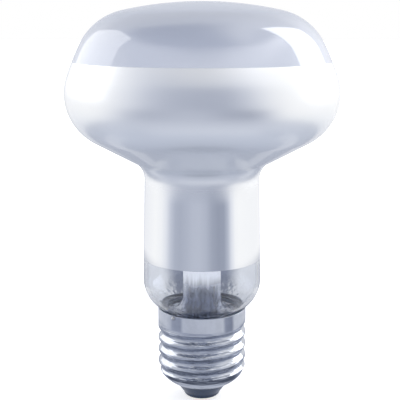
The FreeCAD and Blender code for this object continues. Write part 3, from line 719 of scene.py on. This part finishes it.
@dataclass(frozen=True)
class GlassBulb:
    """The blown glass in three zones: clear foot, mirrored bowl and frosted front."""

    outline: GlassOutline = GlassOutline()
    glass_wall: float = 0.9
    coating: float = 0.12
    mirror_bottom: float = 43.4
    mirror_top: float = 100.4
    zone_gap: float = 0.01
    sides: int = 160

    def wall(self, depth: float) -> Mesh:
        """Return the closed wall of the whole bulb, from the outer face to a depth."""
        outer, inner = self.outline.runs(0.0), self.outline.runs(depth)
        pen = Lathe(outer[0].upper.x, outer[0].upper.y)
        for run in outer:
            run.draw(pen, downward=True)
        pen.line(inner[-1].lower.x, inner[-1].lower.y)
        for run in reversed(inner):
            run.draw(pen, downward=False)
        return pen.turn(self.sides)

    def build(self) -> list[Piece]:
        """Build the three zones and dress them."""
        coated = self.glass_wall + self.coating
        clear = self.wall(self.glass_wall)
        trim(clear, self.mirror_bottom - self.zone_gap, keep_above=False)
        mirrored = self.wall(coated)
        trim(mirrored, self.mirror_bottom, keep_above=True)
        trim(mirrored, self.mirror_top, keep_above=False)
        frosted = self.wall(coated)
        trim(frosted, self.mirror_top + self.zone_gap, keep_above=True)
        glass = "glass_envelope"
        return [
            make_piece(clear, "clear_neck", CLEAR_GLASS, [glass]),
            make_piece(mirrored, "mirrored_bowl", MIRROR, ["mirror_coating", glass]),
            make_piece(frosted, "frosted_front", FROST, ["frost_coating", glass]),
        ]


@dataclass(frozen=True)
class Stem:
    """Flared stem tube with its flat press, and the exhaust tube inside it, in millimetres."""

    tube_radius: float = 5.6
    wall: float = GlassBulb.glass_wall
    flare_radius: float = GlassOutline.seal_radius
    seal_height: float = GlassOutline.seal_height
    press_base: float = 44.0
    press_waist: float = 48.0
    press_top: float = 53.0
    press_width: float = 12.4
    press_depth: float = 4.2
    press_rings: int = 4
    width_power: float = 0.75
    depth_power: float = 0.45
    exhaust_radius: float = 2.3
    exhaust_bore: float = 1.4
    exhaust_tip: float = 15.5
    exhaust_tip_wall: float = 1.6
    exhaust_gap: float = 0.01
    sides: int = 96
    exhaust_sides: int = 48

    def flared_tube(self) -> Mesh:
        """Return the tube with its mouth flared out to the seal, and the flat press on top."""
        lip = self.flare_radius - self.wall
        flare_top = self.seal_height + lip - self.tube_radius
        pen = Lathe(self.tube_radius, self.press_base)
        pen.line(self.tube_radius, flare_top, 6)
        pen.arc(lip, flare_top, -math.pi / 2, 20)
        pen.line(self.flare_radius, self.seal_height)
        pen.line(self.flare_radius, self.seal_height - self.wall)
        pen.line(lip, self.seal_height - self.wall)
        pen.arc(lip, flare_top, math.pi / 2, 20)
        pen.line(self.tube_radius - self.wall, self.press_base, 6)
        mesh = pen.turn(self.sides)
        self._add_press(mesh)
        return mesh

    def _add_press(self, mesh: Mesh) -> None:
        """Close the tube's top with rings that flatten into the press."""
        rims = [e for e in mesh.edges if e.is_boundary]
        ring = [e for e in rims if e.verts[0].co.xy.length > self.tube_radius - self.wall / 2]
        bmesh.ops.edgeloop_fill(mesh, edges=[e for e in rims if e not in ring])
        rise = self.press_waist - self.press_base
        shares = [step / self.press_rings for step in range(1, self.press_rings + 1)]
        for share in (*shares, (self.press_top - self.press_base) / rise):
            made = bmesh.ops.extrude_edge_only(mesh, edges=ring)["geom"]
            ring = [item for item in made if isinstance(item, bmesh.types.BMEdge)]
            flat = smooth(min(1.0, share))
            for vert in {v for edge in ring for v in edge.verts}:
                across = vert.co.xy.normalized()
                # Powers below 1 square the round section up into the press.
                wide = math.copysign(abs(across.x) ** self.width_power, across.x)
                deep = math.copysign(abs(across.y) ** self.depth_power, across.y)
                pressed = Vector((self.press_width / 2 * wide, self.press_depth / 2 * deep))
                place = (across * self.tube_radius).lerp(pressed, flat)
                vert.co = (*place, self.press_base + rise * share)
        bmesh.ops.edgeloop_fill(mesh, edges=ring)

    def exhaust(self) -> Mesh:
        """Return the narrow tube with its melted tip."""
        tip_centre = self.exhaust_tip + self.exhaust_radius
        bore_centre = self.exhaust_tip + self.exhaust_tip_wall + self.exhaust_bore
        pen = Lathe(0.0, self.exhaust_tip)
        pen.arc(0.0, tip_centre, -math.pi / 2, 12)
        pen.line(self.exhaust_radius, self.press_base - self.exhaust_gap, 8)
        pen.line(self.exhaust_bore, self.press_base - self.exhaust_gap)
        pen.line(self.exhaust_bore, bore_centre, 8)
        pen.arc(0.0, bore_centre, math.pi / 2, 10)
        return pen.turn(self.exhaust_sides)

    def build(self) -> list[Piece]:
        """Build the stem's glass and dress the rod and the wires that stand in it."""
        dress_nodes(ROD_GLASS, "support_rod", "fuse_sleeve")
        dress_nodes(TUNGSTEN, "filament")
        dress_nodes(MOLYBDENUM, *(f"filament_support_{index}" for index in (1, 2, 3)))
        dress_nodes(NICKEL_WIRE, "lead_wire_left", "lead_wire_right")
        dress_nodes(COPPER_WIRE, "seal_wire_left", "seal_wire_right", "centre_lead", "side_lead")
        return [
            make_piece(self.flared_tube(), "stem_glass", STEM_GLASS, ["stem_flare"]),
            make_piece(self.exhaust(), "exhaust_glass", STEM_GLASS, ["exhaust_tube"]),
        ]


# The cap


@dataclass(frozen=True)
class Rounding:
    """The arcs that draw the shell's foot in round the black glass, in millimetres."""

    centre: Vector = Vector((3.5, 14.75)).freeze()
    outer: float = 11.0
    inner: float = 10.65
    mouth: float = 7.7

    def at_height(self, height: float, radius: float) -> Vector:
        """Return where the arc of a face passes a height."""
        drop = self.centre.y - height
        return Vector((self.centre.x + math.sqrt(radius**2 - drop**2), height))

    def at_mouth(self, radius: float) -> Vector:
        """Return where the arc of a face ends at the mouth."""
        rise = math.sqrt(radius**2 - (self.mouth - self.centre.x) ** 2)
        return Vector((self.mouth, self.centre.y - rise))


@dataclass(frozen=True)
class ScrewCap:
    """The rolled screw shell with cement and solder, in millimetres and turns."""

    major: float = 13.05
    minor: float = 12.0
    pitch: float = 3.629
    turns: float = 4.0
    top_root: float = 22.3
    fade: float = 0.55
    sheet: float = 0.35
    top: float = 28.2
    taper_top: float = 10.1
    taper_foot: float = 7.9
    rounding: Rounding = Rounding()
    rim_round: float = 0.1
    rim_segments: int = 3
    foot_steps: int = 18
    crease: float = 50.0
    weld: float = 0.004
    least_inward: float = 0.3
    least_upward: float = 0.1
    sides: int = 144
    rows_to_pitch: int = 18
    solder_lump: float = 0.12
    solder_waves: Vector = Vector((3.1, 0.0, 1.7)).freeze()

    def blank_radius(self, height: float) -> float:
        """Return the shell's radius at a height above its rounded foot, without its thread."""
        foot = self.rounding.at_height(self.taper_foot, self.rounding.outer).x
        share = (height - self.taper_foot) / (self.taper_top - self.taper_foot)
        return foot + (self.major - foot) * min(max(share, 0.0), 1.0)

    def thread_radius(self, height: float, angle: float) -> float:
        """Return the round thread's radius at a height and an angle in radians from the +X side."""
        depth = self.major - self.minor
        wave = (self.pitch**2 + 4 * depth**2) / (16 * depth)
        here = (height - self.top_root) / self.pitch
        turn = (angle % math.tau) / math.tau
        turn += round(here - turn)
        away = abs(here - turn) * self.pitch
        if away < self.pitch / 4:
            radius = self.minor + wave - math.sqrt(wave**2 - away**2)
        else:
            away = max(self.pitch / 2 - away, 0.0)
            radius = self.major - wave + math.sqrt(wave**2 - away**2)
        upper = min(max(1.0 - turn / self.fade, 0.0), 1.0)
        lower = min(max((turn + self.turns + self.fade) / self.fade, 0.0), 1.0)
        return self.major - (self.major - radius) * smooth(min(upper, lower))

    def shell(self) -> Mesh:
        """Return the thin shell: collar, thread and rounded foot."""
        rows = math.ceil((self.top - self.taper_foot) / self.pitch * self.rows_to_pitch)
        pen = Lathe(self.major, self.top)
        pen.line(self.major, self.taper_foot, rows)
        pen.line(self.blank_radius(self.taper_foot), self.taper_foot)
        pen.arc_to(self.rounding.centre, self.rounding.at_mouth(self.rounding.outer), self.foot_steps)
        mesh = pen.turn(self.sides)
        for vert in mesh.verts:
            if vert.co.z > self.taper_foot - TOLERANCE:
                angle = math.atan2(vert.co.y, vert.co.x)
                wanted = min(self.blank_radius(vert.co.z), self.thread_radius(vert.co.z, angle))
                vert.co.xy *= wanted / vert.co.xy.length
        bmesh.ops.remove_doubles(mesh, verts=mesh.verts, dist=self.weld)
        bmesh.ops.recalc_face_normals(mesh, faces=mesh.faces)
        return mesh

    def thicken(self, mesh: Mesh) -> None:
        """Give the open shell its sheet thickness, inward, and round its two rims."""
        outward = sum(face.normal.xy.dot(face.calc_center_median().xy) for face in mesh.faces)
        if outward < 0:
            bmesh.ops.reverse_faces(mesh, faces=mesh.faces)
        bmesh.ops.solidify(mesh, geom=mesh.faces[:], thickness=self.sheet)
        rims = [e for e in mesh.edges if all(abs(v.co.z - self.top) < TOLERANCE for v in e.verts)]
        rims = [e for e in rims if abs(e.verts[0].co.xy.length - e.verts[1].co.xy.length) < WELD]
        bmesh.ops.bevel(
            mesh, geom=rims, offset=self.rim_round, offset_type="OFFSET", affect="EDGES",
            segments=self.rim_segments, profile=0.5, material=-1,
        )
        # Inside faces and the foot's upper faces take the second finish, painted dark as shade.
        for face in mesh.faces:
            middle = face.calc_center_median()
            inward = face.normal.xy.dot(-middle.xy.normalized()) > self.least_inward
            upward = middle.z < self.taper_foot and face.normal.z > self.least_upward
            face.material_index = int(inward or upward)

    def side_solder(self) -> Mesh:
        """Return the blob of solder on the collar."""
        low, high = (Vector(corner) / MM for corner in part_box("side_solder"))
        mesh = bmesh.new()
        bmesh.ops.create_icosphere(mesh, subdivisions=4, radius=1.0)
        for vert in mesh.verts:
            vert.co *= 1.0 - self.solder_lump * math.sin(vert.co.dot(self.solder_waves)) ** 2
        bmesh.ops.scale(mesh, vec=(high - low) / 2, verts=mesh.verts)
        bmesh.ops.translate(mesh, vec=(low + high) / 2, verts=mesh.verts)
        return mesh

    def build(self) -> list[Piece]:
        """Build the shell and the solder, and dress the cement."""
        dress_nodes(CEMENT, "cement_ring")
        shell = self.shell()
        self.thicken(shell)
        return [
            make_piece(
                shell, "screw_thread_shell", CAP_METAL, ["screw_shell"], self.crease, CAP_INSIDE_PAINTED_SHADE
            ),
            make_piece(self.side_solder(), "side_solder_drop", SOLDER, ["side_solder"]),
        ]


@dataclass(frozen=True)
class Foot:
    """Insulator of black glass, the contact plate let into it, and the solder drop, in millimetres."""

    top: float = 7.2
    bottom: float = 0.5
    foot_radius: float = 5.4
    edge: float = 0.9
    bore: float = 1.8
    rounding: Rounding = Rounding()
    plate_radius: float = 4.3
    plate_depth: float = 0.45
    plate_edge: float = 0.15
    eyelet_radius: float = 1.0
    eyelet_wall: float = 0.35
    eyelet_rise: float = 1.2
    solder_radius: float = 2.3
    sides: int = 128
    drop_sides: int = 64

    def glass(self) -> Mesh:
        """Return the insulator: a blunt cone below the shell, spread out inside it."""
        plate_top = self.bottom + self.plate_depth
        rounding = self.rounding
        pen = Lathe(self.bore, plate_top)
        pen.line(self.plate_radius, plate_top, 2)
        pen.line(self.plate_radius, self.bottom)
        corner = self.foot_radius - self.edge
        pen.line(corner, self.bottom, 2)
        pen.arc(corner, self.bottom + self.edge, -math.pi / 2, 8)
        pen.line(*rounding.at_mouth(rounding.outer), 4)
        pen.line(*rounding.at_mouth(rounding.inner))
        pen.arc_to(rounding.centre, rounding.at_height(self.top, rounding.inner), 14)
        pen.line(self.bore, self.top, 3)
        return pen.close().turn(self.sides)

    def plate(self) -> Mesh:
        """Return the contact plate with its eyelet."""
        top = self.bottom + self.plate_depth
        pen = Lathe(self.eyelet_radius, self.bottom)
        corner = self.plate_radius - self.plate_edge
        eyelet, eyelet_top = self.eyelet_radius + self.eyelet_wall, top + self.eyelet_rise
        pen.line(corner, self.bottom, 6)
        pen.arc(corner, self.bottom + self.plate_edge, -math.pi / 2, 4)
        pen.line(self.plate_radius, top)
        pen.line(eyelet, top, 4)
        pen.line(eyelet, eyelet_top)
        pen.line(self.eyelet_radius, eyelet_top)
        return pen.close().turn(self.sides)

    def solder(self) -> Mesh:
        """Return the drop of solder that makes the tip."""
        top = self.bottom + self.plate_depth
        ball = (self.solder_radius**2 + self.bottom**2) / (2 * self.bottom)
        sweep = math.asin(self.solder_radius / ball)
        pen = Lathe(0.0, 0.0)
        pen.arc(0.0, ball, -sweep, 14)
        pen.line(self.eyelet_radius, self.bottom, 3)
        pen.line(self.eyelet_radius, top)
        pen.line(0.0, top, 2)
        return pen.turn(self.drop_sides)

    def build(self) -> list[Piece]:
        """Build the three pieces."""
        return [
            make_piece(self.glass(), "black_insulator", BLACK_GLASS, ["insulator"]),
            make_piece(self.plate(), "contact_disc", CONTACT_METAL, ["contact_plate"]),
            make_piece(self.solder(), "contact_drop", SOLDER, ["centre_solder"]),
        ]


# The studio


class Ray(Enum):
    """Outputs of the Light Path node that tell which rays see the studio."""

    CAMERA = "Is Camera Ray"
    GLOSSY = "Is Glossy Ray"
    TRANSMISSION = "Is Transmission Ray"
    SCATTERED = "Diffuse Depth"


def rays(tree: ShaderTree) -> dict[Ray, Wire]:
    """Return the Light Path node's outputs by the rays that they stand for."""
    path = tree.add("ShaderNodeLightPath", {}, {})
    return {ray: Wire(tree, path.outputs[ray.value]) for ray in Ray}


def toward(azimuth: float, elevation: float) -> Vector:
    """Return a direction from degrees. Azimuth 0 is the camera's side, and 90 is to its right."""
    turn, rise = math.radians(azimuth), math.radians(elevation)
    return Vector((math.sin(turn) * math.cos(rise), -math.cos(turn) * math.cos(rise), math.sin(rise)))


@dataclass(frozen=True)
class SoftBox:
    """A far studio lamp with straight soft edges, by its corners' azimuth and elevation in degrees."""

    corners: tuple[Span, ...]
    radiance: float
    edge: float = 1.2

    def share(self, tree: ShaderTree, way: Wire) -> Wire:
        """Return 1 where a direction meets the lamp, and 0 beside it."""
        ways = [toward(*corner) for corner in self.corners]
        middle = sum(ways, Vector())
        softness = math.sin(math.radians(self.edge))
        inside: Value = 1.0
        for first, second in zip(ways, ways[1:] + ways[:1]):
            across = first.cross(second).normalized()
            if across.dot(middle) < 0:
                across.negate()
            settings = {"operation": "DOT_PRODUCT"}
            depth = tree.node("ShaderNodeVectorMath", settings, {0: way, 1: tuple(across)}, "Value")
            inside = inside * tree.ease(depth, -softness, softness)
        return inside


@dataclass(frozen=True)
class Studio:
    """Camera, world and floor. The camera sees white, and the lamp mirrors grey and white walls.

    Angles are in degrees from the camera's side or up from the horizon, and distances in metres from
    the lamp's tip. Each table pairs an azimuth, or for the near floor a distance, with a grey level.
    """

    camera_place: Axes = (-0.00057, -0.26244, 0.11307)
    camera_pitch: float = 11.38
    camera_lens: float = 82.57
    camera_sensor: float = 36.0
    camera_clip: Span = (0.01, 50.0)
    floor_size: float = 8.0
    floor_level: float = 0.95
    floor_glow: float = 0.55
    ceiling_level: float = 0.17
    ceiling_edge: Span = (43.0, 57.0)
    upper_edge: Span = (31.0, 42.0)
    card_level: float = 0.30
    card_edge: Span = (169.5, 174.5)
    inner_light: float = 2.7
    side_level: float = 0.40
    side_edge: Span = (75.0, 115.0)
    ring_start: Span = (0.070, 0.080)
    ring_end: Span = (0.106, 0.100)
    near_edge: Span = (0.15, 0.20)
    table_edge: Span = (0.37, 0.43)
    wall_levels: tuple[Span, ...] = (
        (-180, 0.75), (-163, 0.78), (-145, 0.95), (-103, 1.0), (-81, 0.95), (-61, 0.80), (-44, 0.60),
        (-27, 0.49), (-2, 0.44), (20, 0.44), (36, 0.62), (53, 0.88), (70, 1.0), (150, 1.0), (168, 0.78),
        (180, 0.75),
    )
    table_levels: tuple[Span, ...] = (
        (-180, 0.24), (-168, 0.44), (-152, 0.88), (-101, 1.0), (-84, 0.95), (-72, 0.82), (-62, 0.60),
        (-52, 0.48), (-42, 0.455), (-29, 0.49), (-17, 0.53), (-5, 0.54), (7, 0.50), (19, 0.40), (31, 0.355),
        (42, 0.37), (50, 0.52), (57, 0.78), (66, 0.97), (75, 1.0), (152, 0.96), (168, 0.62), (180, 0.24),
    )
    # Painted shadow of the lamp on the floor, seen only in reflections: darkest in a ring round the tip.
    painted_shadow_levels: tuple[Span, ...] = (
        (0.0, 0.75), (0.010, 0.62), (0.014, 0.13), (0.023, 0.13), (0.031, 0.55), (0.055, 0.54), (0.070, 0.56),
        (0.084, 0.66), (0.102, 0.70), (0.118, 0.64), (0.160, 0.56), (0.210, 0.50),
    )
    ring_levels: tuple[Span, ...] = (
        (-180, 0.50), (-135, 0.84), (-100, 0.84), (-86, 0.74), (-77, 0.50), (-54, 0.46), (-47, 0.74),
        (0, 0.77), (52, 0.83), (60, 0.44), (79, 0.38), (88, 0.88), (130, 0.86), (180, 0.50),
    )
    upper_levels: tuple[Span, ...] = (
        (-180, 0.70), (-90, 0.85), (-50, 0.90), (0, 1.0), (22, 1.15), (55, 1.60), (95, 1.65), (115, 1.1),
        (180, 0.70),
    )
    lamps: tuple[SoftBox, ...] = (
        SoftBox(((120, 22), (-120, 22), (-120, 70), (120, 70)), 0.72, 9.0),
        SoftBox(((50, 42), (150, 42), (150, 76), (40, 74)), 0.95, 14.0),
        SoftBox(((-145, -12), (-147, 22), (-126, 43), (-95, 48), (-88, -12)), 1.8),
        SoftBox(((98, -12), (101, 33), (118, 58), (141, 30), (135, -12)), 3.1),
    )

    def camera(self) -> None:
        """Place the camera at the photograph's angle."""
        data = bpy.data.cameras.new("camera")
        data.lens = self.camera_lens
        data.sensor_width = self.camera_sensor
        data.clip_start, data.clip_end = self.camera_clip
        camera = bpy.data.objects.new("camera", data)
        camera.location = self.camera_place
        camera.rotation_euler = (math.radians(90.0 - self.camera_pitch), 0.0, 0.0)
        bpy.context.scene.collection.objects.link(camera)
        bpy.context.scene.camera = camera

    def turn(self, tree: ShaderTree, way: Wire) -> Wire:
        """Return how far round a direction or a place lies: 0 behind, 0.5 in front, 1 behind again."""
        split = tree.add("ShaderNodeSeparateXYZ", {}, {0: way})
        right, back = (Wire(tree, split.outputs[axis]) for axis in ("X", "Y"))
        return tree.node("ShaderNodeMath", {"operation": "ARCTAN2"}, {0: right, 1: -back}) / math.tau + 0.5

    def ramp(self, tree: ShaderTree, share: Wire, levels: Sequence[Span]) -> Wire:
        """Return the colour at a share of the way along a table of levels."""
        first, last = levels[0][0], levels[-1][0]
        stops = [((place - first) / (last - first), cool_grey(level)) for place, level in levels]
        return tree.node("ShaderNodeValToRGB", {"stops": stops}, {0: share})

    def aside(self, tree: ShaderTree, turn: Wire, edge: Span) -> Wire:
        """Return 0 on the camera's side and 1 beyond an edge on the left and on the right."""
        return tree.ease(abs(turn - 0.5), *(angle / 360 for angle in edge))

    def world(self) -> None:
        """Make the world: white to the camera, or else walls, ceiling, lamps and the grey card."""
        world = bpy.data.worlds.new("studio")
        bpy.context.scene.world = world
        tree = ShaderTree(world)
        seen = rays(tree)
        way = tree.node("ShaderNodeTexCoord", output="Generated")
        up = tree.node("ShaderNodeSeparateXYZ", {}, {0: way}, "Z")
        turn = self.turn(tree, way)
        upper, overhead = (
            tree.ease(up, *(math.sin(math.radians(angle)) for angle in edge))
            for edge in (self.upper_edge, self.ceiling_edge)
        )
        colour = self.ramp(tree, turn, self.wall_levels)
        colour = tree.mix_colour(upper, colour, self.ramp(tree, turn, self.upper_levels))
        colour = tree.mix_colour(overhead, colour, cool_grey(self.ceiling_level))
        for lamp in self.lamps:
            colour = tree.mix_colour(lamp.share(tree, way), colour, grey(lamp.radiance))
        behind = seen[Ray.TRANSMISSION] * self.aside(tree, turn, self.card_edge)
        colour = tree.mix_colour(behind, colour, cool_grey(self.card_level))
        inward = seen[Ray.TRANSMISSION] * seen[Ray.SCATTERED]
        colour = tree.mix_colour(inward, colour, grey(self.inner_light))
        colour = tree.mix_colour(seen[Ray.CAMERA], colour, grey(1.0))
        background = tree.node("ShaderNodeBackground", {}, {"Color": colour, "Strength": 1.0})
        tree.add("ShaderNodeOutputWorld", {}, {"Surface": background})

    def mirrored_floor(self, tree: ShaderTree, place: Wire, turn: Wire) -> Wire:
        """Return the floor's colour as the lamp mirrors it: painted shadow and rings near by, then table,
        walls.
        """
        away = tree.node("ShaderNodeVectorMath", {"operation": "LENGTH"}, {0: place}, "Value")
        # Painted shadow: the floor close by is grey, darker at the sides and in a ring round the tip.
        near = self.ramp(tree, away / self.painted_shadow_levels[-1][0], self.painted_shadow_levels)
        near = tree.mix_colour(self.aside(tree, turn, self.side_edge), near, cool_grey(self.side_level))
        ring = tree.ease(away, *self.ring_start) * tree.ease(away, *self.ring_end)
        near = tree.mix_colour(ring, near, self.ramp(tree, turn, self.ring_levels))
        table = self.ramp(tree, turn, self.table_levels)
        colour = tree.mix_colour(tree.ease(away, *self.near_edge), near, table)
        walls = self.ramp(tree, turn, self.wall_levels)
        return tree.mix_colour(tree.ease(away, *self.table_edge), colour, walls)

    def floor(self) -> None:
        """Lay a plain pale floor, white to the camera apart from the lamp's shadow."""
        mesh = bmesh.new()
        bmesh.ops.create_grid(mesh, x_segments=1, y_segments=1, size=self.floor_size / 2)
        data = bpy.data.meshes.new("floor")
        mesh.to_mesh(data)
        mesh.free()
        floor = bpy.data.objects.new("floor", data)
        bpy.context.scene.collection.objects.link(floor)
        made = bpy.data.materials.new("floor")
        tree = ShaderTree(made)
        seen = rays(tree)
        place = tree.node("ShaderNodeTexCoord", output="Object")
        turn = self.turn(tree, place)
        behind = self.aside(tree, turn, self.card_edge)
        through = tree.mix_colour(behind, grey(1.0), cool_grey(self.card_level))
        through = tree.mix_colour(seen[Ray.SCATTERED], through, grey(self.inner_light))
        paper = tree.node("ShaderNodeBsdfDiffuse", {}, {"Color": grey(self.floor_level)})
        glow = tree.node("ShaderNodeEmission", {}, {"Color": grey(1.0), "Strength": self.floor_glow})
        surface = tree.node("ShaderNodeAddShader", {}, {0: paper, 1: glow})
        # A ray that has passed through glass counts as glossy too, so its colour is mixed in last.
        mirrored = self.mirrored_floor(tree, place, turn)
        for ray, colour in ((Ray.GLOSSY, mirrored), (Ray.TRANSMISSION, through)):
            glow = tree.node("ShaderNodeEmission", {}, {"Color": colour, "Strength": 1.0})
            surface = tree.node("ShaderNodeMixShader", {}, {0: seen[ray], 1: surface, 2: glow})
        tree.add("ShaderNodeOutputMaterial", {}, {"Surface": surface})
        data.materials.append(made)

    def build(self) -> None:
        """Set the studio up."""
        bpy.context.scene.view_settings.view_transform = "Standard"
        self.camera()
        self.world()
        self.floor()


def main() -> None:
    """Build the sub-assemblies, then the studio."""
    logging.basicConfig(level=logging.INFO, format="%(name)s: %(message)s")
    for assembly in (GlassBulb(), Stem(), ScrewCap(), Foot()):
        for piece in assembly.build():
            faces = sum(len(face.vertices) - 2 for face in piece.data.polygons)
            LOG.info("%s: %d triangles", piece.name, faces)
    Studio().build()


if __name__ == "__main__":
    main()
